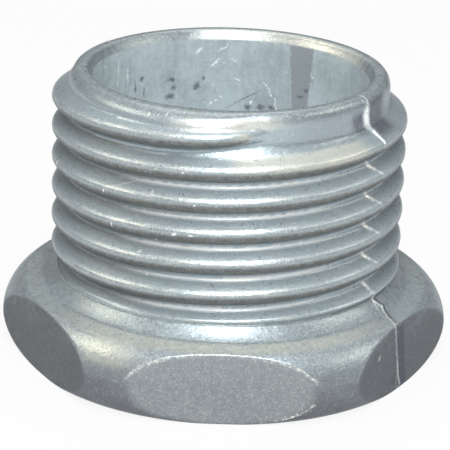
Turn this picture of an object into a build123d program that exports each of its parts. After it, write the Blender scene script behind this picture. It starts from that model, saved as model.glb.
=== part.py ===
from build123d import *
import os
from math import cos, radians, sin, tan

# A conduit nipple for trade size 1/2, die cast in zinc in one piece: a threaded barrel that
# stands on a rounded hexagonal head, with a smooth passage for the wires right through it.
# The origin is the middle of the head's flat face, on the passage's axis. +Z runs up the barrel.
# Angles around the axis start at -Y, where a flat of the hexagon faces, and grow towards +X.

# Barrel and its rim
overall_height = 17.23
root_radius = 9.60
neck_radius = 9.33
neck_length = 1.63          # from the rim down to where the barrel has narrowed to its neck
neck_taper = 0.70           # over which it narrows
rim_round = 0.45
rim_chamfer_width = 0.30
rim_chamfer_depth = 0.55

# Passage for the wires, with a rounded mouth in the head so that no edge cuts them
bore_radius = 8.06
throat_round = 1.20

# Head: a turned, double-rounded disc with six flats on it
across_flats = 24.20
head_radius = 13.31
belly_height = 2.05
face_radius = 12.15
shoulder_radius = 12.03
shoulder_height = 4.25

# Collar under the thread, which flares out over a ring to a crease in the head's shoulder
crease_radius = 11.35
crease_height = 4.33
ring_radius = 10.90
ring_height = 4.40
collar_radius = 10.10
collar_height = 5.15
flare_hollow = 0.04

# Right-hand thread, as cast, 14 turns to the inch
thread_pitch = 25.4 / 14
crest_radius = 10.42
crest_flat = 0.20
flank_angle = 38.0
flank_share = 0.77          # of the ridge's depth; the rest is a straight foot in the barrel
root_overlap = 0.10         # how deep the ridge's foot is let into the neck
pared_radius = 10.13        # of the lowest turn's crest, which starts low
pared_height = 5.20         # up to where it stays so low
full_crest_height = 5.65    # from where on it is whole
crest_under_rim = 3.074     # from the rim down to the first crest that is whole on the -Y side
tip_angle = 12.0            # where the top turn, the next one up, rises out of the barrel
fade_angle = 42.0           # over which it gains its full height
fade_sections = 7
tip_sunk = 0.04             # how far inside the neck the tip starts

# Flash where the two halves of the mould met, a fine rib down opposite flats of the head
parting_angle = 55.5
flash_width = 0.22
flash_height = 0.10
flash_margin = 0.30         # from the flash's ends to the flat's upper and lower edges


def ridge_plane(turned):
    # The upright plane through the axis that the ridge reaches after turning so far from its
    # lower end. Its X axis points outwards and its Y axis up, from the height of the crest.
    outwards = Vector(cos(radians(turned)), sin(radians(turned)), 0)
    rise = thread_pitch * turned / 360
    return Plane((0, 0, rise), x_dir=outwards, z_dir=outwards.cross(Vector(0, 0, 1)))


def ridge_section(turned, sink=0.0):
    # The ridge cut by that plane: two straight flanks with a narrow flat crest between them, on
    # a straight foot
    crest = crest_radius - sink
    foot = neck_radius - root_overlap
    flank = (crest - foot) * flank_share
    half_crest = crest_flat / 2
    half_foot = half_crest + flank * tan(radians(flank_angle))
    with BuildSketch(ridge_plane(turned)) as section:
        with BuildLine():
            Polyline((crest, half_crest), (crest - flank, half_foot), (foot, half_foot),
                     (foot, -half_foot), (crest - flank, -half_foot), (crest, -half_crest),
                     close=True)
        make_face()
    return section.sketch


# The thread's ridge in its own frame, with its lower end on the XZ plane. Its place on the
# barrel hides that end inside the collar.
crest_height = overall_height - crest_under_rim
lower_end = collar_height - thread_pitch / 2
lower_angle = (lower_end - crest_height) / thread_pitch * 360
full_turn = 360 + tip_angle - fade_angle - lower_angle
with BuildPart() as ridge:
    with BuildLine() as climb:
        Helix(thread_pitch, thread_pitch * full_turn / 360, crest_radius)
    sweep(ridge_section(0), path=climb.line, is_frenet=True)

# Its top end, which sinks into the barrel along a cubic
with BuildPart() as ridge_tip:
    shares = [step / (fade_sections - 1) for step in range(fade_sections)]
    depth = crest_radius - neck_radius + tip_sunk
    loft([ridge_section(full_turn + fade_angle * share, depth * share**3) for share in shares])

# Thread, turned round and lifted to its place on the barrel, with its lowest turn pared down
with BuildPart() as thread:
    with Locations(Location((0, 0, lower_end), (0, 0, lower_angle - 90))):
        add(ridge.part)
        add(ridge_tip.part)
    with BuildSketch(Plane.XZ):
        with BuildLine():
            pared = (pared_radius, pared_height)
            cone_radius = 2 * crest_radius - pared_radius
            cone_height = 2 * full_crest_height - pared_height
            Polyline((0, 0), (pared_radius, 0), pared, (cone_radius, cone_height),
                     (cone_radius, overall_height), (0, overall_height), close=True)
        make_face()
    revolve(axis=Axis.Z, mode=Mode.INTERSECT)

with BuildPart() as nipple:
    # Turned form of the barrel, collar, head and passage
    with BuildSketch(Plane.XZ):
        with BuildLine():
            belly = (head_radius, belly_height)
            shoulder = (shoulder_radius, shoulder_height)
            crease = (crease_radius, crease_height)
            ring = (ring_radius, ring_height)
            collar = (collar_radius, collar_height)
            neck_height = overall_height - neck_length
            root_top = (root_radius, neck_height - neck_taper)
            neck = (neck_radius, neck_height)
            rim_side = (neck_radius, overall_height - rim_round)
            rim_outside = (neck_radius - rim_round, overall_height)
            rim_inside = (bore_radius + rim_chamfer_width, overall_height)
            lip = (bore_radius, overall_height - rim_chamfer_depth)
            mouth = (bore_radius, throat_round)
            mouth_edge = (bore_radius + throat_round, 0)
            TangentArc(mouth, mouth_edge, tangent=(0, -1))
            Line(mouth_edge, (face_radius, 0))
            TangentArc(belly, (face_radius, 0), tangent=(0, -1))
            TangentArc(belly, shoulder, tangent=(0, 1))
            Polyline(shoulder, crease, ring)
            SagittaArc(ring, collar, flare_hollow)
            Polyline(collar, (root_radius, collar_height), root_top, neck, rim_side)
            TangentArc(rim_side, rim_outside, tangent=(0, 1))
            Polyline(rim_outside, rim_inside, lip, mouth)
        make_face()
    revolve(axis=Axis.Z)

    add(thread.part)

    # Flats of the hexagon, two of them square to the Y axis
    with BuildSketch():
        RegularPolygon(across_flats / 2, side_count=6, major_radius=False)
    extrude(amount=overall_height, mode=Mode.INTERSECT)

    # Flash, half sunk into the side that it runs down: the flat, or the turned form inside it
    flat_angle = 60
    flat_reach = across_flats / 2 / cos(radians(flat_angle - parting_angle))
    flash_reach = min(flat_reach, head_radius)
    with BuildSketch(Plane.XY.offset(flash_margin)):
        with PolarLocations(flash_reach, 2, parting_angle - 90):
            Rectangle(2 * flash_height, flash_width)
    extrude(amount=shoulder_height - 2 * flash_margin)

nipple.part.label = "nipple"
os.makedirs("parts", exist_ok=True)
export_step(nipple.part, "parts/nipple.step")
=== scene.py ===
import bpy
import numpy as np
from mathutils import Matrix, Vector


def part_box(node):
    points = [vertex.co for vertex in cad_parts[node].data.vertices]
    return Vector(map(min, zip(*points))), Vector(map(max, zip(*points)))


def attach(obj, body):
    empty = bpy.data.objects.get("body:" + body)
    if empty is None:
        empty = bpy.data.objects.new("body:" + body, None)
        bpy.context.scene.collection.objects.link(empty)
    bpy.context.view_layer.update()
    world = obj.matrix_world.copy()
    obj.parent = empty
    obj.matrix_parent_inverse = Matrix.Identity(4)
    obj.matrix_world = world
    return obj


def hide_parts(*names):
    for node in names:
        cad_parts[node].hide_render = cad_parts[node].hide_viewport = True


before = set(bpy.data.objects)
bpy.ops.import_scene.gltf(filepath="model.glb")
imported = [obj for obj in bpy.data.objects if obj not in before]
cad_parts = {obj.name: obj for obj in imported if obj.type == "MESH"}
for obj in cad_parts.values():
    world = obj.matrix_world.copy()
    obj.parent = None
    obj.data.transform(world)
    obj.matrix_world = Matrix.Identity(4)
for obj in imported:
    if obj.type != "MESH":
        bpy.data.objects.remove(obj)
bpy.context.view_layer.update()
print("frame loaded")

mm = 0.001


# A socket that takes part in sums: an expression on it adds the Math nodes.
class Wire:
    def __init__(self, shader, socket):
        self.shader = shader
        self.socket = socket

    def maths(self, operation, *values, clamped=False):
        settings = {"operation": operation, "use_clamp": clamped}
        return self.shader.node("ShaderNodeMath", settings, dict(enumerate(values)))

    def __add__(self, other):
        return self.maths("ADD", self, other)

    def __sub__(self, other):
        return self.maths("SUBTRACT", self, other)

    def __rsub__(self, other):
        return self.maths("SUBTRACT", other, self)

    def __mul__(self, other):
        return self.maths("MULTIPLY", self, other)

    def __pow__(self, power):
        return self.maths("POWER", self, power)

    def __neg__(self):
        return self.maths("MULTIPLY", self, -1.0)

    def clamp(self):
        return self.maths("ADD", self, 0.0, clamped=True)

    def maximum(self, other):
        return self.maths("MAXIMUM", self, other)

    # angle in radians of a direction that goes this far up and the other so far across
    def arctan2(self, other):
        return self.maths("ARCTAN2", self, other)

    __radd__ = __add__
    __rmul__ = __mul__


# Builds one node tree. Settings come first, then the sockets, by index or by identifier.
class Shader:
    def __init__(self, tree):
        self.tree = tree
        tree.nodes.clear()

    def node(self, kind, settings=None, sockets=None, output=0):
        made = self.tree.nodes.new(kind)
        for name, value in (settings or {}).items():
            if name == "ramp":
                self.fillRamp(made.color_ramp, value)
            else:
                setattr(made, name, value)
        for key, value in (sockets or {}).items():
            inlet = self.find(made.inputs, key)
            if isinstance(value, Wire):
                self.tree.links.new(value.socket, inlet)
            else:
                inlet.default_value = value
        return None if output is None else Wire(self, self.find(made.outputs, output))

    def find(self, sockets, key):
        if isinstance(key, int):
            return sockets[key]
        return next(s for s in sockets if key in (s.identifier, s.name))

    def fillRamp(self, ramp, stops):
        while len(ramp.elements) > 1:
            ramp.elements.remove(ramp.elements[0])
        ramp.elements[0].position, ramp.elements[0].color = stops[0]
        for place, colour in stops[1:]:
            ramp.elements.new(place).color = colour

    # the first colour at a factor of 0 and the second at 1; the node clamps its factor
    def mixColour(self, factor, a, b):
        sockets = {"Factor_Float": factor, "A_Color": a, "B_Color": b}
        return self.node("ShaderNodeMix", {"data_type": "RGBA"}, sockets, "Result_Color")

    def noise(self, place, scale, detail, roughness):
        sockets = {"Vector": place, "Scale": scale, "Detail": detail, "Roughness": roughness}
        return self.node("ShaderNodeTexNoise", None, sockets, "Fac")

    def scaled(self, place, factors):
        return self.node("ShaderNodeVectorMath", {"operation": "MULTIPLY"}, {0: place, 1: factors})

    # 0 below the first level and 1 above the second, with a soft step between them
    def step(self, value, low, high):
        sockets = {"Value": value, "From Min": low, "From Max": high}
        settings = {"interpolation_type": "SMOOTHSTEP"}
        return self.node("ShaderNodeMapRange", settings, sockets, "Result")


# Nipple
# Lengths are in millimetres. Angles are in degrees, from the front (-Y) towards +X.
nippleSizes = {
    "rootRadius": 9.60,
    "neckRadius": 9.33,
    "neckLength": 1.63,
    "neckTaper": 0.70,
    "boreRadius": 8.06,
    "rimRound": 0.45,
    "rimRoundHeight": 0.80,
    "rimChamferWidth": 0.30,
    "rimChamferDepth": 0.55,
    "chamferSink": 0.015,
    "throatRound": 1.20,
    "acrossFlats": 24.20,
    "bellyHeight": 2.05,
    "faceRadius": 12.15,
    "shoulderRadius": 12.03,
    "shoulderHeight": 4.25,
    "flatEdgeRound": 0.06,
    "creaseRadius": 11.35,
    "creaseHeight": 4.33,
    "ringRadius": 10.90,
    "ringHeight": 4.40,
    "collarRadius": 10.10,
    "collarHeight": 5.15,
    "collarEdge": 0.05,
    "flareHollow": 0.04,
    "pitch": 25.4 / 14,
    "crestRadius": 10.42,
    "crestRound": 0.40,
    "flankAngle": 34.0,
    "footRound": 0.22,
    "paredRadius": 10.13,
    "paredHeight": 5.20,
    "fullCrestHeight": 5.65,
    "crestUnderRim": 3.074,
    "tipAngle": 12.0,
    "fadeAngle": 42.0,
    "waviness": 0.006,
    "partingAngle": 55.5,
    "partingAtRoot": 54.2,       # its angle on the thread's flanks, at the root
    "partingAtCrest": 57.8,      # and near the crest
    "partingLean": 0.75,         # depth of the flank over which it goes from one to the other
    "leanStart": (6.2, 6.8),     # ways up the outside over which it begins and ends to lean
    "leanEnd": (14.6, 14.2),
    "partingStep": 0.17,
    "stepOnThread": 0.35,        # the step's share on the thread
    "stepFade": 9.0,             # degrees over which it dies out
    "stepHalf": 0.50,            # half the width of its face, in degrees
    "neckStepHalf": 0.22,
    "notchHeight": 16.15,        # where the neck's step has its wide face
    "notchHalf": 0.75,
    "threadTop": 14.60,
    "flashHeight": 0.10,
    "flashWidth": 0.23,
    "nibWidth": 1.60,            # how much wider and higher the flash is at its foot
    "nibHeight": 0.90,
    "ringStep": 0.06,            # the parting step on the flare under the thread
    "ringStepHalf": 0.30,
    "ringStepFade": 5.0,
    "softCorner": 0.04,          # width over which two forms of the barrel blend
    "columns": 430,
}
# The front parting line wanders: (way up the outside, angle), the way being z - 0.8 (r - 10)
partingLine = [
    (-1.6, 57.6), (0.2, 56.4), (1.5, 55.0), (2.4, 54.2), (2.7, 55.0), (3.0, 56.2), (3.3, 56.8),
    (3.6, 58.6), (3.9, 58.9), (4.2, 59.8), (4.5, 58.7), (4.8, 57.9), (5.1, 57.4), (5.6, 56.0),
    (14.5, 58.1), (15.7, 57.6), (16.2, 55.4), (16.8, 54.5), (17.2, 55.2), (17.6, 56.4),
]
size = nippleSizes
low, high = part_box("nipple")
headRadius = (high.x - low.x) / 2 / mm
overallHeight = (high.z - low.z) / mm
crestHeight = overallHeight - size["crestUnderRim"]
rimBase = overallHeight - size["rimRoundHeight"]


# Angles of the grid's columns: even ones, drawn together near the two parting lines. They are
# read off the running sum of a density 1 + crowd * exp(-(distance / width)^2).
def columnAngles(count, crowd=5.0, width=3.6):
    fine = np.linspace(0.0, 360.0, 7201)
    density = np.ones_like(fine)
    for line in (size["partingAngle"], size["partingAngle"] + 180):
        density += crowd * bell(fine - line, 1.2, width)
    running = np.concatenate([[0.0], np.cumsum((density[1:] + density[:-1]) / 2)])
    return np.interp(np.arange(count) / count * running[-1], running, fine)


# 0 before the first level, 1 after the second, 3t^2 - 2t^3 between. Levels that go from high to
# low make a step down.
def smoothStep(value, start, end):
    t = np.clip((value - start) / (end - start), 0.0, 1.0)
    return t * t * (3 - 2 * t)


# A hump of height 1: exp(-((value - centre) / width)^2)
def bell(value, centre, width):
    return np.exp(-(((value - centre) / width) ** 2))


# The larger of a and b with a rounded corner of about that width; -softMax(-a, -b) is the smaller
def softMax(a, b, width):
    share = np.clip(0.5 + 0.5 * (a - b) / width, 0.0, 1.0)
    return b + (a - b) * share + width * share * (1 - share)


# How far the angle is past the nearer of the two parting lines, from -90 to 90. On the thread's
# flanks the line leans with the depth of the section.
def pastParting(angle, r, z):
    way = z - 0.8 * (r - 10)
    onThread = smoothStep(way, *size["leanStart"]) * smoothStep(way, *size["leanEnd"])
    depth = np.clip((r - size["rootRadius"]) / size["partingLean"], 0, 1)
    leaning = size["partingAtRoot"] + (size["partingAtCrest"] - size["partingAtRoot"]) * depth
    line = np.interp(way, *np.transpose(partingLine)) * (1 - onThread) + leaning * onThread
    return (angle - line + 90) % 180 - 90


# A smooth random field on the turned form: a sum of sines, whole numbers of waves round it
def wobble(angle, along, waves, longest, shortest, seed):
    draw = np.random.default_rng(seed)
    total = np.zeros(np.broadcast(angle, along).shape)
    for _ in range(waves):
        length = shortest * (longest / shortest) ** draw.random()
        heading = draw.uniform(0, np.pi)
        turns = np.round(2 * np.pi * size["rootRadius"] / length * np.cos(heading))
        rate = 2 * np.pi / length * np.sin(heading)
        total += np.sin(turns * np.radians(angle) + rate * along + draw.uniform(0, 2 * np.pi))
    return total / np.sqrt(waves)


# Radius of the thread's ridge at an angle and a height. From the crest line
# z = crestHeight + pitch * turned / 360 the section falls round a crest, then straight at the
# flank angle. Past the last full turn it sinks with the cube of the angle, and near the collar a
# cone pares its crest.
def ridgeRadius(angle, z):
    pitch = size["pitch"]
    flank = np.radians(size["flankAngle"])
    turns = (z - crestHeight) / pitch - angle / 360
    nearest = np.minimum(np.round(turns), 1.0)
    off = np.abs(turns - nearest) * pitch
    top = size["crestRadius"]
    bend = size["crestRound"] * np.cos(flank)
    rounded = top - size["crestRound"] + np.sqrt(np.maximum(size["crestRound"] ** 2 - off**2, 0))
    straight = top - size["crestRound"] * (1 - np.sin(flank)) - (off - bend) / np.tan(flank)
    section = np.where(off < bend, rounded, straight)
    turned = angle + 360 * nearest
    start = 360 + size["tipAngle"] - size["fadeAngle"]
    sunk = (top - size["neckRadius"]) * (np.maximum(turned - start, 0) / size["fadeAngle"]) ** 3
    slope = (top - size["paredRadius"]) / (size["fullCrestHeight"] - size["paredHeight"])
    cone = size["paredRadius"] + slope * np.maximum(z - size["paredHeight"], 0)
    return -softMax(sunk - section, -cone, size["softCorner"])


# Radius of the barrel without its thread
def coreRadius(z):
    neckHeight = overallHeight - size["neckLength"]
    narrowed = smoothStep(z, neckHeight - size["neckTaper"], neckHeight)
    return size["rootRadius"] + (size["neckRadius"] - size["rootRadius"]) * narrowed


# How far the half of the mould past each parting line stands out, which fades away from it. The
# step's face is wide in the middle of the neck and narrow elsewhere.
def partingStep(angle, r, z):
    past = pastParting(angle, r, z)
    half = np.where(z > size["threadTop"], size["neckStepHalf"], size["stepHalf"])
    half = half + size["notchHalf"] * bell(z, size["notchHeight"], 0.55)
    stepped = smoothStep(past / half, -1.0, 1.0) * np.exp(-np.maximum(past, 0) / size["stepFade"])
    onNeck = smoothStep(z, overallHeight - 3.0, overallHeight - 1.8)
    share = size["stepOnThread"] + (1 - size["stepOnThread"]) * onNeck
    return size["partingStep"] * share * stepped


# Radius of the barrel's outside: core, thread, parting step and a slight waviness
def barrelRadius(angle, z):
    wavy = wobble(angle, z, waves=24, longest=6.0, shortest=0.9, seed=5)
    plain = softMax(ridgeRadius(angle, z), coreRadius(z), size["footRound"])
    return plain + partingStep(angle, plain, z) + size["waviness"] * wavy


# Heights within one pitch at which the thread's rows run: close together where the section bends
def rowOffsets():
    flank = np.radians(size["flankAngle"])
    bend = size["crestRound"] * np.cos(flank)
    depth = size["crestRadius"] - size["rootRadius"] - size["crestRound"] * (1 - np.sin(flank))
    foot = bend + depth * np.tan(flank)
    crest = bend * np.array([0.36, 0.7, 1.06])
    sides = np.array([0.33, 0.52, 0.7])
    feet = foot + size["footRound"] * np.array([-0.5, -0.1, 0.25])
    half = np.sort(np.concatenate([crest, sides * foot, feet]))
    return np.concatenate([-half[::-1], [0.0], half, [size["pitch"] / 2]])


# The barrel's outside as rows that climb with the thread, cut off level at both ends. Row k at
# the last column goes on as row k + perTurn at the first one.
def barrelRows(angles):
    offsets = rowOffsets()
    turns = (np.arange(-6, 2)[:, None] + offsets[None, :] / size["pitch"]).ravel()
    z = crestHeight + size["pitch"] * (turns[:, None] + angles[None, :] / 360)
    z = np.clip(z, size["collarHeight"], rimBase)
    angle = np.broadcast_to(angles, z.shape)
    return angle, barrelRadius(angle, z), z, len(offsets)


# Radius at which an arc has its centre that is upright at the belly, headRadius from the axis,
# and reaches an edge so far above or below the belly
def arcCentre(edgeRadius, rise):
    return (headRadius**2 - edgeRadius**2 - rise**2) / (2 * (headRadius - edgeRadius))


centreLow = arcCentre(size["faceRadius"], size["bellyHeight"])
centreHigh = arcCentre(size["shoulderRadius"], size["shoulderHeight"] - size["bellyHeight"])


# Radius of the head's turned form at a height: an arc under the belly and another one above it,
# centre + sqrt(bend^2 - off^2)
def turnedRadius(z):
    off = z - size["bellyHeight"]
    centre = np.where(off < 0, centreLow, centreHigh)
    return centre + np.sqrt(np.maximum((headRadius - centre) ** 2 - off**2, 0))


# Distance from the axis to the hexagon's flats in each direction
def flatReach(angle):
    return size["acrossFlats"] / 2 / np.cos(np.radians((angle + 30) % 60 - 30))


# How far the flash stands out: a rib with the section exp(-(2 s / width)^4) at a distance s from
# the parting line, with a wider and higher nib at its foot
def flashRise(angle, r, z):
    aside = np.radians(pastParting(angle, r, z)) * headRadius
    width = size["flashWidth"] * (1 + size["nibWidth"] * smoothStep(z, 0.9, 0.4))
    height = size["flashHeight"] * (1 + size["nibHeight"] * smoothStep(z, 0.8, 0.5))
    length = smoothStep(z, 0.1, 0.25) * smoothStep(z, 4.2, 4.0)
    return height * np.exp(-((2 * aside / width) ** 4)) * length


# The head's side: for each column, rows up the under arc to the flat's lower edge, over the flat
# and up the upper arc. The radius is the smaller of the turned form's and the flat's.
def headRows(angles, underCount, flatCount, upperCount):
    reach = flatReach(angles)
    belly = size["bellyHeight"]

    # bend radius of an arc, and its turns from the belly to its end and to the flat's edge. Where
    # no flat cuts in, and near the end, the rows still keep a stretch for one.
    def arcTurns(centre, edgeRadius):
        bend = headRadius - centre
        end = np.arccos((edgeRadius - centre) / bend)
        cut = np.arccos(np.clip((reach - centre) / bend, -1, 1))
        return bend, end, np.clip(cut, 0.25, 0.93 * end)

    bendLow, endLow, cutLow = arcTurns(centreLow, size["faceRadius"])
    bendHigh, endHigh, cutHigh = arcTurns(centreHigh, size["shoulderRadius"])
    share = np.linspace(0, 1, underCount, endpoint=False)[:, None] ** 0.7
    under = belly - bendLow * np.sin(endLow + (cutLow - endLow) * share)
    share = np.linspace(0, 1, upperCount)[:, None] ** 1.5
    upper = belly + bendHigh * np.sin(cutHigh + (endHigh - cutHigh) * share)
    lowEdge, highEdge = belly - bendLow * np.sin(cutLow), belly + bendHigh * np.sin(cutHigh)
    share = 0.5 - 0.5 * np.cos(np.pi * np.linspace(0, 1, flatCount, endpoint=False)[:, None])
    z = np.vstack([under, lowEdge + (highEdge - lowEdge) * share, upper])
    radius = -softMax(-turnedRadius(z), -reach, size["flatEdgeRound"])
    return radius + flashRise(angles, radius, z), z


# The whole outside and inside as rows of one closed grid, from the thread's lowest row up over
# the rim, down the passage, round the mouth, over the face and up the head to the thread again
def nippleGrid():
    angles = columnAngles(size["columns"])
    barrel = barrelRows(angles)
    rimTop, bottom = overallHeight, size["collarHeight"]
    lip = size["neckRadius"] - size["rimRound"]
    chamferTop = size["boreRadius"] + size["rimChamferWidth"]
    across, up = [], []

    # adds rows whose radius or height differs from column to column
    def shaped(r, h):
        r, h, _ = np.broadcast_arrays(r, h, angles)
        across.append(r)
        up.append(h)

    # adds rows with the same radius and height all round
    def turned(r, h):
        shaped(np.reshape(r, (-1, 1)), np.reshape(h, (-1, 1)))

    # rim: outer round, flat top, inner chamfer with its soft edges
    width = size["rimRound"] + barrelRadius(angles, rimBase) - size["neckRadius"]
    turn = np.radians(np.linspace(0, 90, 9))[:, None]
    shaped(lip + width * np.cos(turn), rimBase + size["rimRoundHeight"] * np.sin(turn))
    turned(np.array([0.6, 0.2]) * (lip - chamferTop) + chamferTop, rimTop)
    share = np.array([0.06, 0.2, 0.5, 0.8, 0.97])
    sunk = size["chamferSink"]
    turned(chamferTop - size["rimChamferWidth"] * share**1.25,
           rimTop - sunk - (size["rimChamferDepth"] - sunk) * share)

    # passage, from just under the chamfer, and its mouth
    boreTop = rimTop - size["rimChamferDepth"] - 0.06
    turned(size["boreRadius"], np.linspace(boreTop, size["throatRound"], 12))
    mouth = size["boreRadius"] + size["throatRound"]
    turn = np.radians(np.linspace(180, 270, 8)[1:])
    turned(mouth + size["throatRound"] * np.cos(turn), size["throatRound"] * (1 + np.sin(turn)))
    turned(np.linspace(mouth, size["faceRadius"], 5)[1:-1], 0.0)

    # head, then shoulder and ring
    shaped(*headRows(angles, 9, 12, 10))
    bends = ("shoulder", "crease", "ring")
    stops = [(size[bend + "Radius"], size[bend + "Height"]) for bend in bends]
    for (r0, h0), (r1, h1) in zip(stops, stops[1:]):
        share = np.array([0.1, 0.35, 0.65, 0.9])
        turned(r0 + (r1 - r0) * share, h0 + (h1 - h0) * share)

    # flare under the thread: a line from the ring to the collar, moved square to it by a hollow of
    # 4 share (1 - share) and by the parting step. The collar stays outside the thread's lowest row.
    inner = barrelRadius(angles, bottom)
    outer = softMax(size["collarRadius"], inner + 0.02, size["softCorner"])
    share = (np.arange(13) + 0.4)[:, None] / 13
    bulge = 4 * share * (1 - share)
    flareTop = bottom - size["collarEdge"]
    outwards, upwards = 0.67, 0.74
    hollow = size["flareHollow"] * bulge
    r = size["ringRadius"] + (outer - size["ringRadius"]) * share - hollow * outwards
    h = size["ringHeight"] + (flareTop - size["ringHeight"]) * share - hollow * upwards
    past = pastParting(angles, r, h)
    stepped = smoothStep(past / size["ringStepHalf"], -1.0, 1.0) * bulge
    step = size["ringStep"] * stepped * np.exp(-np.maximum(past, 0) / size["ringStepFade"])
    shaped(r + step * outwards, h + step * upwards)

    # the collar's edge and its flat top, in to the thread's lowest row
    room = np.minimum(size["collarEdge"], (outer - inner) / 2)
    edgeHeights = bottom - size["collarEdge"] * np.array([1.0, 0.3, 0.0])
    shaped(np.stack([outer, outer - room * 0.3, outer - room]), edgeHeights[:, None])
    share = np.array([0.35, 0.75])[:, None]
    shaped(outer - room + (inner - outer + room) * share, bottom)

    ringRadius, ringZ = np.vstack(across), np.vstack(up)
    return barrel, (np.broadcast_to(angles, ringZ.shape), ringRadius, ringZ)


# Joins the two grids into one closed mesh of triangles. Points that coincide become one, and
# triangles left without area go.
def nippleMesh():
    (angle, radius, z, perTurn), (ringAngle, ringRadius, ringZ) = nippleGrid()
    index = np.arange(z.size).reshape(z.shape)
    ringIndex = z.size + np.arange(ringZ.size).reshape(ringZ.shape)

    # squares between the rows of one column and the same rows of the next one
    def squares(here, beyond):
        return np.stack([here[:-1], beyond[:-1], beyond[1:], here[1:]], -1).reshape(-1, 4)

    # a row of the barrel goes on, past the last column, as the row one turn above it at the first.
    # The top rows have none above them, but there all are level already.
    top = len(index) - perTurn
    climbing = squares(index[:top], np.hstack([index[:top, 1:], index[perTurn:, :1]]))
    level = squares(index[top - 1:, :-1], index[top - 1:, 1:])
    # the ring's rows start on the thread's top row and end on its bottom one
    loop = np.vstack([ringIndex, index[:1]])
    quads = np.vstack([climbing, level, squares(loop, np.roll(loop, -1, 1))])
    turn = np.radians(np.concatenate([angle.ravel(), ringAngle.ravel()]))
    r = np.concatenate([radius.ravel(), ringRadius.ravel()])
    height = np.concatenate([z.ravel(), ringZ.ravel()])
    points = np.stack([r * np.sin(turn), -r * np.cos(turn), height], 1)
    _, firstUse, merged = np.unique(np.round(points, 5), axis=0, return_index=True,
                                    return_inverse=True)
    quads = merged.reshape(-1)[quads]
    triangles = np.vstack([quads[:, [0, 1, 2]], quads[:, [0, 2, 3]]])
    a, b, c = triangles.T
    triangles = triangles[(a != b) & (b != c) & (c != a)]
    return points[firstUse], triangles, np.degrees(turn[firstUse]), r[firstUse], height[firstUse]


# A smooth mesh object from points in millimetres and triangles
def makeObject(name, points, triangles):
    mesh = bpy.data.meshes.new(name)
    mesh.vertices.add(len(points))
    mesh.vertices.foreach_set("co", (points * mm).astype(np.float32).ravel())
    mesh.loops.add(triangles.size)
    mesh.loops.foreach_set("vertex_index", triangles.astype(np.int32).ravel())
    mesh.polygons.add(len(triangles))
    mesh.polygons.foreach_set("loop_start", np.arange(0, triangles.size, 3, dtype=np.int32))
    mesh.update(calc_edges=True)
    mesh.validate()
    mesh.polygons.foreach_set("use_smooth", np.ones(len(mesh.polygons), bool))
    made = bpy.data.objects.new(name, mesh)
    bpy.context.scene.collection.objects.link(made)
    return made


# Where the skins of the casting show. A range of four levels begins, is full, starts to fade and
# is gone. A range of two levels has one soft edge, and falls where it goes from high to low.
skinRanges = {
    # thread: heights over the nearest crest line, how far the ridge stands over the root, angles
    "threaded": (17.0, 16.7),
    # where the lower flanks and, on the left, the roots are painted in shade
    "lowerFlank": (0.16, -0.14, -0.75, -0.90),
    "flankRidge": (0.0, 0.15),
    "rootRidge": (0.30, 0.05),
    "rootShadeSide": (-165, -110, -40, -5),
    # where the painted highlights at the thread's feet and on its crests go
    "footSide": (-45, -20, 25, 45),
    "highlightRidge": (0.4, 0.6),
    "highlightLeft": (-60, -20),
    "highlightRight": (12, 34),
    "topFlankHeight": (14.1, 14.4),
    "topFlankRadius": (9.62, 9.70),
    "topFlankSide": (-2, 6, 44, 54),
    # head: how deep the flat cuts into the turned form, heights, radii and angles
    "frontFlat": (0.02, 0.24),
    "sideFlat": (-0.06, 0.14),
    # the head's under arc, painted in shade
    "under": (3.4, 2.0),
    "upperEdge": (2.4, 3.0),
    "lowerEdge": (1.5, 1.1),
    "lowerEdgeSide": (8, 14, 24, 27),
    "cornerHeight": (2.7, 3.3),
    "cornerDepth": (0.05, -0.02),
    # where the ledge's painted reflection goes
    "ledgeRadius": (10.8, 11.2, 11.9, 12.3),
    "ledgeHeight": (4.05, 4.20, 4.42, 4.50),
    "ledgeFront": (0.45, 0.85),
    # parting lines and neck: degrees past the line, heights, angles
    "neck": (14.5, 15.0),
    "collar": (4.2, 4.3, 5.3, 5.6),
    "seamRoot": (0.38, 0.50, 0.85, 0.95),
    "seamOnFlat": (1.2, 2.4),
    "leftPatch": (-9, -6, -2.0, -1.2),
    "leftPatchHeight": (15.1, 15.5, 16.2, 16.8),
    "rightPatch": (1.2, 1.8, 9, 17),
    "rightPatchHeight": (14.7, 15.2, 16.8, 17.1),
    "bar": (0.8, 1.2, 5.0, 5.4),
    "barHeight": (4.0, 3.8),
    "collarShade": (0.4, 0.8, 1.3, 2.0),
    "neckShade": (-80, -30, -2.0, -0.5),
    "neckShadeSide": (8, 34),
    "neckShadeRadius": (9.75, 9.50),
    "neckShadeHeight": (17.0, 16.8),
    # where the painted highlights on the neck and the rim's chamfer go
    "sheenSide": (-26, -6, 6, 26),
    "sheenHeight": (16.3, 16.5, 16.9, 17.1),
    "chamferRadius": (8.5, 8.4),
    "chamferHeight": (16.63, 16.73),
    "chamferSide": (-78, -62, 4, 22),
}
# Humps of the skins: centre and width
skinHumps = {
    # humps of the painted highlights at the thread's feet, on its crests and along the flats' edges
    "footLine": (-0.09, 0.14),     # height of the ridge over the root
    "rubbed": (0.24, 0.13),        # height over the crest line
    "flatEdge": (0.03, 0.045),     # depth of the flat
    "corner": (-31, 8),            # angle
    "notch": (16.15, 0.50),        # height
}
# Half the width of the bright parting line, in degrees
seamHalves = {"head": 0.25, "thread": 0.70, "neck": 0.35, "notch": 0.32}


# How far values lie within a range: a soft step up to its second level, and down from its third
def within(values, name):
    levels = skinRanges[name]
    share = smoothStep(values, levels[0], levels[1])
    return share if len(levels) == 2 else share * smoothStep(values, levels[3], levels[2])
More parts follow.
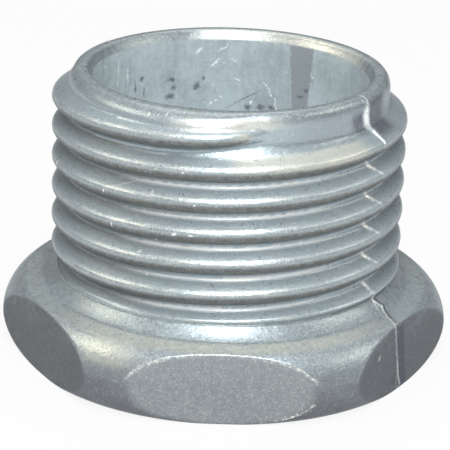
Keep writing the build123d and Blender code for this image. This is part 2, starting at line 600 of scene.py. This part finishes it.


# How strongly each skin shows at each point, from the form itself: painted shade under the thread's
# flanks, painted highlights on its crests and feet, the flats, the bright parting line and the shade
# beside it
def nippleSkins(angle, radius, z):
    skins = {}
    neckStart, shoulder = 14.8, size["shoulderHeight"]
    turns = (z - crestHeight) / size["pitch"] - angle / 360
    off = (turns - np.round(turns)) * size["pitch"]
    onThread = (z > size["collarHeight"]) & (radius > size["neckRadius"] - 0.05)
    ridge = np.where(onThread, ridgeRadius(angle, z) - size["rootRadius"], 0.0)
    onHead = (z < shoulder) & (radius > size["faceRadius"] - 0.2)
    outside = (radius > size["boreRadius"] + 0.8) & (z > 0.05)
    angle = (angle + 180) % 360 - 180       # from here on from -180 to 180, no longer 0 to 360
    backAngle = angle % 360 - 180
    past = pastParting(angle, radius, z)

    # thread
    skins["threaded"] = onThread * within(z, "threaded")
    # painted shade: the lower flanks darkened under each crest, and on the left side the roots too,
    # where the ridge above shades them
    rootShade = 0.6 * within(ridge, "rootRidge") * within(angle, "rootShadeSide") * (z < neckStart)
    flankShade = within(off, "lowerFlank") * within(ridge, "flankRidge")
    skins["grime"] = onThread * np.maximum(flankShade, rootShade)
    # painted highlight: a bright line at the foot of each upper flank, where the root's fillet
    # catches the key lamp
    footLine = bell(ridge, *skinHumps["footLine"]) * within(angle, "footSide")
    skins["footLine"] = onThread * footLine * (off > 0) * (z < neckStart)
    # painted highlight along the crests, strong on the left and faint on the right
    rubbed = bell(off, *skinHumps["rubbed"]) * within(ridge, "highlightRidge")
    rubbed = rubbed * (0.35 + 0.65 * within(angle, "highlightLeft"))
    skins["rubbed"] = onThread * rubbed * (1 - 0.7 * within(angle, "highlightRight"))

    # head: the flats at the front and the back, the four others painted darker as shade, the under
    # arc painted darker as shade, and painted highlights along the front ones' edges
    flatDepth = np.where(onHead, turnedRadius(z) - flatReach(angle), -1.0)
    facing = (angle % 360 + 30) // 60 % 3 == 0
    skins["frontFlat"] = facing * within(flatDepth, "frontFlat")
    # the four side flats get a darker copy of the flats' colour: painted shade
    skins["sideFlat"] = ~facing * within(flatDepth, "sideFlat")
    # painted shade: the under arc of the head darkened
    skins["under"] = onHead * within(z, "under")
    edges = within(z, "upperEdge") + within(z, "lowerEdge") * within(angle, "lowerEdgeSide")
    # painted highlights along the front and back flats' top and lower edges
    skins["flatEdge"] = onHead * facing * bell(flatDepth, *skinHumps["flatEdge"]) * edges
    # painted reflection on the ledge, strongest at the front
    ledge = within(radius, "ledgeRadius") * within(z, "ledgeHeight")
    skins["ledge"] = ledge * (0.15 + 0.85 * within(np.cos(np.radians(angle)), "ledgeFront"))

    # painted warm highlights on the top turn's flank and on the corner left of the front flat
    topFlank = within(z, "topFlankHeight") * within(radius, "topFlankRadius")
    topFlank = topFlank * within(angle, "topFlankSide")
    corner = bell(angle, *skinHumps["corner"]) * within(z, "cornerHeight")
    corner = 0.75 * corner * within(flatDepth, "cornerDepth")
    skins["pale"] = np.where(onThread, topFlank, corner * onHead)

    # parting line: bright on the flats, the collar and the neck, and in the thread's roots
    onNeck, onCollar = within(z, "neck"), within(z, "collar")
    onRoots = within(off, "seamRoot") * (1 - onNeck) * (1 - onCollar)
    bright = 0.8 * onCollar + 1.3 * onNeck + 1.3 * onRoots
    bright = np.where(z < shoulder, 1.0 - 0.35 * within(z, "seamOnFlat"), bright)
    halfWidth = np.where(z < 14.3, seamHalves["thread"], seamHalves["neck"])
    halfWidth = np.where(z < 5.2, seamHalves["head"], halfWidth)
    halfWidth = halfWidth + seamHalves["notch"] * bell(z, *skinHumps["notch"])
    skins["seam"] = outside * bright * bell(past, 0.0, halfWidth)

    # shade: a bar beside the line on the flats, a stripe on the collar and patches on the neck
    bar = within(past, "bar") * within(z, "barHeight")
    leftPatch = within(past, "leftPatch") * within(z, "leftPatchHeight")
    rightPatch = within(past, "rightPatch") * within(z, "rightPatchHeight")
    neckShade = 0.36 * within(angle, "neckShadeSide") * within(past, "neckShade")
    neckShade = neckShade * within(radius, "neckShadeRadius") * within(z, "neckShadeHeight")
    patches = leftPatch + rightPatch + neckShade * (1 - leftPatch)
    above = within(past, "collarShade") * onCollar + onNeck * patches
    skins["shade"] = outside * np.where(z < shoulder, bar, above)

    # painted highlights on the neck at the front and on the chamfer at the back of the rim
    neck = within(angle, "sheenSide") * within(z, "sheenHeight")
    chamfer = within(backAngle, "chamferSide") * within(z, "chamferHeight")
    chamfer = chamfer * within(radius, "chamferRadius")
    skins["polished"] = np.where(outside, neck, 0.85 * chamfer)
    return skins


points, triangles, angleAt, radiusAt, heightAt = nippleMesh()
nipple = makeObject("castNipple", points, triangles)
skins = nippleSkins(angleAt, radiusAt, heightAt)
for name, values in skins.items():
    attribute = nipple.data.attributes.new(name, "FLOAT", "POINT")
    attribute.data.foreach_set("value", values.astype(np.float32))
print("nipple mesh:", len(points), "points,", len(triangles), "triangles")


# Zinc
zincFinish = {
    "light": (0.475, 0.54, 0.57, 1),
    "dark": (0.355, 0.405, 0.435, 1),
    "thread": (0.485, 0.57, 0.62, 1),
    # painted warm highlight
    "pale": (0.80, 0.80, 0.71, 1),
    # painted reflection on the ledge
    "ledge": (0.585, 0.59, 0.53, 1),
    "inside": (0.585, 0.665, 0.705, 1),
    "insideDark": (0.43, 0.49, 0.52, 1),
    "band": (0.36, 0.39, 0.42, 1),
    "mark": (0.15, 0.155, 0.185, 1),
    # the side flats' painted shade, a darker copy of the front flats' colour
    "sideFlat": (0.165, 0.175, 0.19, 1),
    "frontFlat": (0.335, 0.36, 0.38, 1),
    # painted shade under the head
    "under": (0.175, 0.185, 0.205, 1),
    # painted shade under the thread's flanks
    "grime": (0.175, 0.178, 0.168, 1),
    "shade": (0.10, 0.105, 0.135, 1),
    # painted highlights, and light flecks of wear
    "rubbed": (0.93, 0.93, 0.86, 1),
    # bright nicks and the parting line, and the painted highlight at the thread's feet
    "nickAndHighlight": (0.96, 0.98, 0.98, 1),
    "scratch": (1, 1, 1, 1),
    "speck": (0.08, 0.085, 0.09, 1),
    "edgeTint": (0.35, 0.36, 0.38, 1),
    "metallic": 0.54,
    "insideMetallic": 0.06,
    "ledgeMetallic": 0.15,
    "roughness": 0.30,
    "specular": 0.15,
    "grainHeight": 0.000007,
    "insideRadius": (8.50, 8.30),     # soft edges of the passage's own skin
    "insideHeight": (16.76, 16.64),
}
# Noises of the finish: how far each is drawn together along x, y and z, scale, detail, roughness
zincNoises = {
    "clouds": ((1, 1, 1), 0.45, 4, 0.60),
    "mottle": ((1, 1, 1), 2.4, 4, 0.62),
    "fine": ((1, 1, 1), 5.5, 3, 0.60),
    "grain": ((1, 1, 1), 11.0, 2, 0.60),
    "streaks": ((0.6, 0.6, 6.0), 1.6, 4, 0.60),      # level ones, on the thread
    "drawn": ((2.6, 2.6, 0.16), 1.6, 3, 0.65),       # upright ones, in the passage
}
# Sides of the dark band in the passage: degrees from the back over which it starts, at a height,
# and degrees that it leans for each millimetre up
bandSides = [
    {"edge": (25.7, 26.6), "height": 16.8, "lean": 0.56},
    {"edge": (39.0, 38.1), "height": 16.9, "lean": -0.57},
]
# Nicks on the outside: degrees from the front towards +X, height, half length, half width and the
# tilt of the length from level in degrees
outerMarks = [
    (-41.7, 12.16, 0.16, 0.045, 80), (-38.2, 10.28, 0.15, 0.045, 100), (-72.6, 12.09, 0.25, 0.08, 60),
    (-24.2, 12.64, 0.08, 0.07, 0), (-22.2, 14.16, 0.12, 0.03, 45), (-22.1, 11.28, 0.12, 0.03, 40),
    (-16.1, 10.47, 0.15, 0.08, 20), (-23.4, 9.76, 0.08, 0.06, 0), (-9.9, 12.27, 0.07, 0.05, 0),
    (-13.8, 14.11, 0.06, 0.05, 0), (-10.8, 10.49, 0.16, 0.06, 0), (-28.3, 8.99, 0.14, 0.05, 20),
    (-26.9, 7.50, 0.08, 0.05, 0), (-34.3, 12.75, 0.90, 0.016, 18), (-35.3, 10.64, 0.80, 0.016, 14),
    (-27.4, 16.92, 0.09, 0.05, 70), (-24.0, 16.98, 0.07, 0.04, 60), (-21.1, 17.05, 0.10, 0.04, 80),
    (45.9, 2.82, 0.17, 0.04, 60),
]
# Marks in the passage, the same way but with their degrees from the back towards +X
brightMarks = [
    (-68.6, 15.9, 0.75, 0.030, 90), (-57.5, 15.4, 0.85, 0.035, 86), (-51.0, 15.0, 0.60, 0.030, 90),
    (-56.0, 16.3, 0.06, 0.06, 0), (-14.5, 16.0, 0.26, 0.06, 45), (-7.0, 15.2, 0.36, 0.06, 42),
    (-4.0, 16.1, 0.34, 0.03, 30), (-2.0, 16.4, 0.05, 0.05, 0), (-3.5, 15.15, 0.07, 0.05, 20),
    (-7.5, 13.8, 0.07, 0.06, 0), (-4.4, 13.0, 0.06, 0.05, 0), (-6.6, 12.75, 0.08, 0.06, 40),
    (-8.7, 12.6, 0.10, 0.06, 50), (-11.2, 12.65, 0.05, 0.05, 0), (1.2, 15.4, 0.20, 0.05, -50),
    (3.0, 14.15, 0.20, 0.04, -20), (17.0, 13.6, 0.50, 0.035, -60), (20.5, 12.7, 0.40, 0.03, -78),
    (9.2, 12.7, 0.14, 0.05, 80), (21.0, 12.35, 0.09, 0.07, 0), (25.2, 12.3, 0.09, 0.06, 60),
    (38.0, 12.9, 0.07, 0.07, 0), (38.2, 14.9, 0.06, 0.06, 0),
]
darkMarks = [
    (-27.0, 14.25, 0.27, 0.10, 0), (-26.0, 13.70, 0.20, 0.14, 30), (-27.4, 13.20, 0.28, 0.17, 0),
    (-15.2, 13.70, 0.22, 0.16, 40), (-12.2, 14.20, 0.10, 0.14, 0), (-42.5, 14.6, 0.16, 0.14, 0),
    (-41.0, 13.7, 0.35, 0.05, 90), (-46.0, 14.2, 0.40, 0.05, 90), (6.5, 12.95, 1.15, 0.03, 31),
    (8.0, 12.4, 0.16, 0.20, 30), (13.6, 12.45, 0.22, 0.16, 0), (18.3, 12.45, 0.20, 0.14, 0),
    (35.5, 14.0, 0.15, 0.12, 0), (32.0, 13.5, 0.20, 0.10, 10),
]


# The largest of a list of soft elliptic marks on a surface that is unrolled at a radius
def drawMarks(s, unrolled, marks, radius, softness=0.4):
    total = None
    for azimuth, height, halfLength, halfWidth, tilt in marks:
        sockets = {"Vector": unrolled, "Location": (np.radians(azimuth) * radius, height, 0),
                   "Rotation": (0, 0, np.radians(tilt)), "Scale": (halfLength, halfWidth, 1)}
        local = s.node("ShaderNodeMapping", {"vector_type": "TEXTURE"}, sockets)
        reach = s.node("ShaderNodeVectorMath", {"operation": "LENGTH"}, {0: local}, "Value")
        mark = s.step(reach, 1 + softness, 1 - softness)
        total = mark if total is None else total.maximum(mark)
    return total


# Outside skin: the casting's own tones, with layers that the skins and the noises lay over them.
# Some of these layers are painted shade, painted highlights and a painted reflection.
def outerColour(s, skin, noises):
    clouds, mottle, fine, grain, streaks, _ = noises
    tone = s.step(clouds * 0.2 + mottle * 0.25 + fine * 0.35 + grain * 0.2, 0.40, 0.60)
    uneven = 0.1 + clouds * 0.6 + mottle * 0.5 + fine * 0.5
    glint = skin["rubbed"] * s.step(streaks * 0.5 + grain * 0.5, 0.42, 0.58)
    edgeDots = s.step(fine * 0.6 + grain * 0.4, 0.46, 0.60)
    specks = 1 - s.step(fine * 0.5 + grain * 0.5, 0.40, 0.60)
    speckShare = 0.09 - skin["threaded"] * 0.05 + (skin["frontFlat"] + skin["sideFlat"]) * 0.13
    flecks = s.step(grain * 0.6 + fine * 0.4, 0.58, 0.66) * (1 - skin["sideFlat"] * 0.6)
    layers = [
        (skin["threaded"] * 0.72, "thread"),
        # painted warm highlight
        (skin["pale"] * (0.4 + mottle * 0.8), "pale"),
        # painted shade under the flanks
        (skin["grime"] * (0.5 + mottle * 0.8), "grime"),
        # painted reflection on the ledge
        (skin["ledge"] * (mottle * 1.4 + fine * 0.7 - 0.45), "ledge"),
        # painted highlights on the neck and the rim's chamfer
        (skin["polished"] * (0.6 + fine * 0.5), "rubbed"),
        # painted highlight on the crests
        (glint * 0.8, "rubbed"),
        # painted shade under the head
        (skin["under"] * uneven, "under"),
        # painted shade on the side flats
        (skin["sideFlat"] * (uneven + mottle * 0.5 - 0.2), "sideFlat"),
        (skin["frontFlat"] * uneven, "frontFlat"),
        (skin["shade"] * uneven * 0.8, "shade"),
        # painted highlights on the flats' edges, broken into dots
        (skin["flatEdge"] * (0.15 + edgeDots), "rubbed"),
        (skin["seam"] * (0.6 + grain * 0.8), "nickAndHighlight"),
        (specks * speckShare, "speck"),
        # painted highlight at the thread's feet
        (skin["footLine"] * (0.65 + grain * 0.8), "nickAndHighlight"),
        # light flecks of wear
        (flecks * 0.3, "rubbed"),
    ]
    colour = s.mixColour(tone, zincFinish["dark"], zincFinish["light"])
    for amount, name in layers:
        colour = s.mixColour(amount, colour, zincFinish[name])
    return colour


# Passage: its wall's tones, a dark band down it, then dark spots and bright scratches. The wall
# is unrolled from the back, as the length round it and the height, both shifted a little by noise.
def passageColour(s, x, y, z, noises):
    clouds, mottle, fine, _, _, drawn = noises
    boreRadius = size["boreRadius"]
    back = x.arctan2(y)
    aside = (mottle - 0.5) * 0.5 + (fine - 0.5) * 0.25
    upwards = (mottle - 0.5) * 0.4 - (fine - 0.5) * 0.25
    sockets = {0: back * boreRadius + aside, 1: z + upwards, 2: 0.0}
    unrolled = s.node("ShaderNodeCombineXYZ", None, sockets)
    degrees = back * (180 / np.pi) + aside * 6
    left, right = (s.step(degrees + (z - side["height"]) * side["lean"], *side["edge"])
                   for side in bandSides)
    tone = s.step(drawn * 0.15 + clouds * 0.45 + mottle * 0.25 + fine * 0.15, 0.38, 0.60)
    layers = [
        (left * right * (0.45 + mottle * 0.7 + fine * 0.4), "band"),
        (drawMarks(s, unrolled, darkMarks, boreRadius, 0.8) * 0.85, "mark"),
        (drawMarks(s, unrolled, brightMarks, boreRadius), "scratch"),
    ]
    colour = s.mixColour(tone, zincFinish["insideDark"], zincFinish["inside"])
    for amount, name in layers:
        colour = s.mixColour(amount, colour, zincFinish[name])
    return colour


# The cast zinc: colour inside and outside, less metallic under the painted flank shade, on the
# painted foot highlights and on the ledge's painted reflection, a fine grain
def zincMaterial():
    finish = zincFinish
    material = bpy.data.materials.new("castZinc")
    material.use_nodes = True
    s = Shader(material.node_tree)
    metres = s.node("ShaderNodeTexCoord", None, None, "Object")
    place = s.scaled(metres, (1 / mm, 1 / mm, 1 / mm))
    x, y, z = (s.node("ShaderNodeSeparateXYZ", None, {0: place}, axis) for axis in "XYZ")
    radius = (x * x + y * y) ** 0.5
    skin = {name: s.node("ShaderNodeAttribute", {"attribute_name": name}, None, "Fac")
            for name in skins}
    noises = [s.noise(s.scaled(place, factors), *values)
              for factors, *values in zincNoises.values()]

    around = x.arctan2(-y) * size["crestRadius"]
    unrolled = s.node("ShaderNodeCombineXYZ", None, {0: around, 1: z, 2: 0.0})
    nicks = drawMarks(s, unrolled, outerMarks, size["crestRadius"]) * 0.85
    inside = s.step(radius, *finish["insideRadius"]) * s.step(z, *finish["insideHeight"])
    colour = s.mixColour(nicks, outerColour(s, skin, noises), finish["nickAndHighlight"])
    colour = s.mixColour(inside, colour, passageColour(s, x, y, z, noises))

    _, mottle, fine, grain, streaks, _ = noises
    bare = finish["metallic"]
    # less metallic under the painted flank shade, and on the painted foot highlight so that its
    # colour shows brighter
    metallic = bare + inside * (finish["insideMetallic"] - bare) - skin["grime"] * 0.2
    metallic = metallic - skin["footLine"] * 0.44 + skin["ledge"] * (finish["ledgeMetallic"] - bare)
    roughness = finish["roughness"] + (mottle - 0.5) * 0.2 + skin["grime"] * 0.14 + inside * 0.1
    height = grain * 1.2 + fine * 1.6 + streaks * 1.0 + mottle * 1.6
    sockets = {"Strength": 1.0, "Distance": finish["grainHeight"], "Height": height}
    bump = s.node("ShaderNodeBump", None, sockets, "Normal")
    sockets = {"Base Color": colour, "Metallic": metallic, "Roughness": roughness.clamp(),
               "Specular Tint": finish["edgeTint"], "Specular IOR Level": finish["specular"],
               "Normal": bump}
    surface = s.node("ShaderNodeBsdfPrincipled", None, sockets, "BSDF")
    s.node("ShaderNodeOutputMaterial", None, {"Surface": surface}, None)
    return material


nipple.data.materials.append(zincMaterial())
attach(nipple, "root")
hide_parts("nipple")
print("zinc finish done")


# Stage
stageSizes = {
    "floorHalf": 600.0,
    "floorColour": (0.80, 0.80, 0.80, 1),
    "white": (1, 1, 1, 1),
    "whiteShare": 0.88,
}


# A square floor that is nearly white to the camera and in mirrors, and catches light and shade
def makeFloor():
    half = stageSizes["floorHalf"]
    corners = np.array([(-half, -half, 0), (half, -half, 0), (half, half, 0), (-half, half, 0)])
    floor = makeObject("floor", corners, np.array([(0, 1, 2), (0, 2, 3)]))
    material = bpy.data.materials.new("paleFloor")
    material.use_nodes = True
    s = Shader(material.node_tree)
    diffuse = s.node("ShaderNodeBsdfDiffuse", None, {"Color": stageSizes["floorColour"]})
    white = s.node("ShaderNodeEmission", None, {"Color": stageSizes["white"], "Strength": 1.0})
    seen, mirrored, through = (s.node("ShaderNodeLightPath", None, None, kind)
                               for kind in ("Is Camera Ray", "Is Glossy Ray", "Is Transmission Ray"))
    share = (seen + mirrored + through).clamp() * stageSizes["whiteShare"]
    mixed = s.node("ShaderNodeMixShader", None, {0: share, 1: diffuse, 2: white})
    s.node("ShaderNodeOutputMaterial", None, {"Surface": mixed}, None)
    floor.data.materials.append(material)


makeFloor()
print("floor done")


# Light
# The sky's colour from the nadir at 0 to the zenith at 1
skyTones = [
    (0.0, (0.15, 0.15, 0.155, 1)),
    (0.50, (0.15, 0.15, 0.155, 1)),
    (0.66, (0.18, 0.185, 0.19, 1)),
    (0.84, (0.28, 0.30, 0.32, 1)),
    (1.0, (0.55, 0.58, 0.61, 1)),
]
# Each lamp aims at the nipple's middle. Its azimuth is from the front towards +X.
lampSizes = {
    "key": {"azimuth": 2, "elevation": 49, "distance": 260, "width": 130, "height": 240,
            "strength": 0.64, "colour": (0.985, 1.0, 0.99)},
    "back": {"azimuth": 180, "elevation": 50, "distance": 260, "width": 110, "height": 150,
             "strength": 0.09, "colour": (1.0, 0.97, 0.88)},
    "warmLeft": {"azimuth": -92, "elevation": 40, "distance": 260, "width": 120, "height": 80,
                 "strength": 0.11, "colour": (1.0, 0.92, 0.73)},
    "warmRight": {"azimuth": 88, "elevation": 36, "distance": 260, "width": 150, "height": 60,
                  "strength": 0.075, "colour": (1.0, 0.94, 0.80)},
}


# The sky's colour goes with the height of the direction that a ray comes from
def makeSky():
    world = bpy.data.worlds.new("studio")
    bpy.context.scene.world = world
    world.use_nodes = True
    s = Shader(world.node_tree)
    direction = s.node("ShaderNodeTexCoord", None, None, "Generated")
    upwards = s.node("ShaderNodeSeparateXYZ", None, {0: direction}, "Z")
    tone = s.node("ShaderNodeValToRGB", {"ramp": skyTones}, {0: upwards * 0.5 + 0.5}, "Color")
    light = s.node("ShaderNodeBackground", None, {"Color": tone, "Strength": 1.0})
    s.node("ShaderNodeOutputWorld", None, {"Surface": light}, None)


# A rectangular lamp that faces the middle of the nipple
def makeLamp(name, values):
    light = bpy.data.lights.new(name, "AREA")
    light.shape = "RECTANGLE"
    light.size, light.size_y = values["width"] * mm, values["height"] * mm
    light.color = values["colour"]
    light.energy = values["strength"]
    lamp = bpy.data.objects.new(name, light)
    bpy.context.scene.collection.objects.link(lamp)
    turn, climb = np.radians(values["azimuth"]), np.radians(values["elevation"])
    aim = Vector((0, 0, overallHeight / 2 * mm))
    away = Vector((np.sin(turn) * np.cos(climb), -np.cos(turn) * np.cos(climb), np.sin(climb)))
    lamp.location = aim + away * values["distance"] * mm
    lamp.rotation_euler = (-away).to_track_quat("-Z", "Y").to_euler()


makeSky()
for name, values in lampSizes.items():
    makeLamp(name, values)
print("light done")


# Camera
# A long lens looking down on the nipple's front, turned slightly about its own axis.
cameraSizes = {
    "focalLength": 182.03,
    "sensor": 36.0,
    "distance": 136.137,
    "elevation": 20.151,
    "roll": 1.780,
    "aimX": -0.0745,
    "aimZ": 7.438,
}


def makeCamera():
    data = bpy.data.cameras.new("camera")
    data.sensor_fit = "HORIZONTAL"
    data.sensor_width = cameraSizes["sensor"]
    data.lens = cameraSizes["focalLength"]
    data.clip_start, data.clip_end = 1 * mm, 5.0
    camera = bpy.data.objects.new("camera", data)
    bpy.context.scene.collection.objects.link(camera)
    bpy.context.scene.camera = camera
    climb, roll = np.radians(cameraSizes["elevation"]), np.radians(cameraSizes["roll"])
    forward = Vector((0, np.cos(climb), -np.sin(climb)))
    right = Vector((1, 0, 0))
    up = right.cross(forward)
    cameraRight = np.cos(roll) * right + np.sin(roll) * up
    cameraUp = -np.sin(roll) * right + np.cos(roll) * up
    aim = Vector((cameraSizes["aimX"], 0, cameraSizes["aimZ"])) * mm
    place = aim - forward * cameraSizes["distance"] * mm
    turned = Matrix((cameraRight, cameraUp, -forward)).transposed().to_4x4()
    camera.matrix_world = Matrix.Translation(place) @ turned


makeCamera()
bpy.context.scene.view_settings.view_transform = "Standard"

print("camera done")
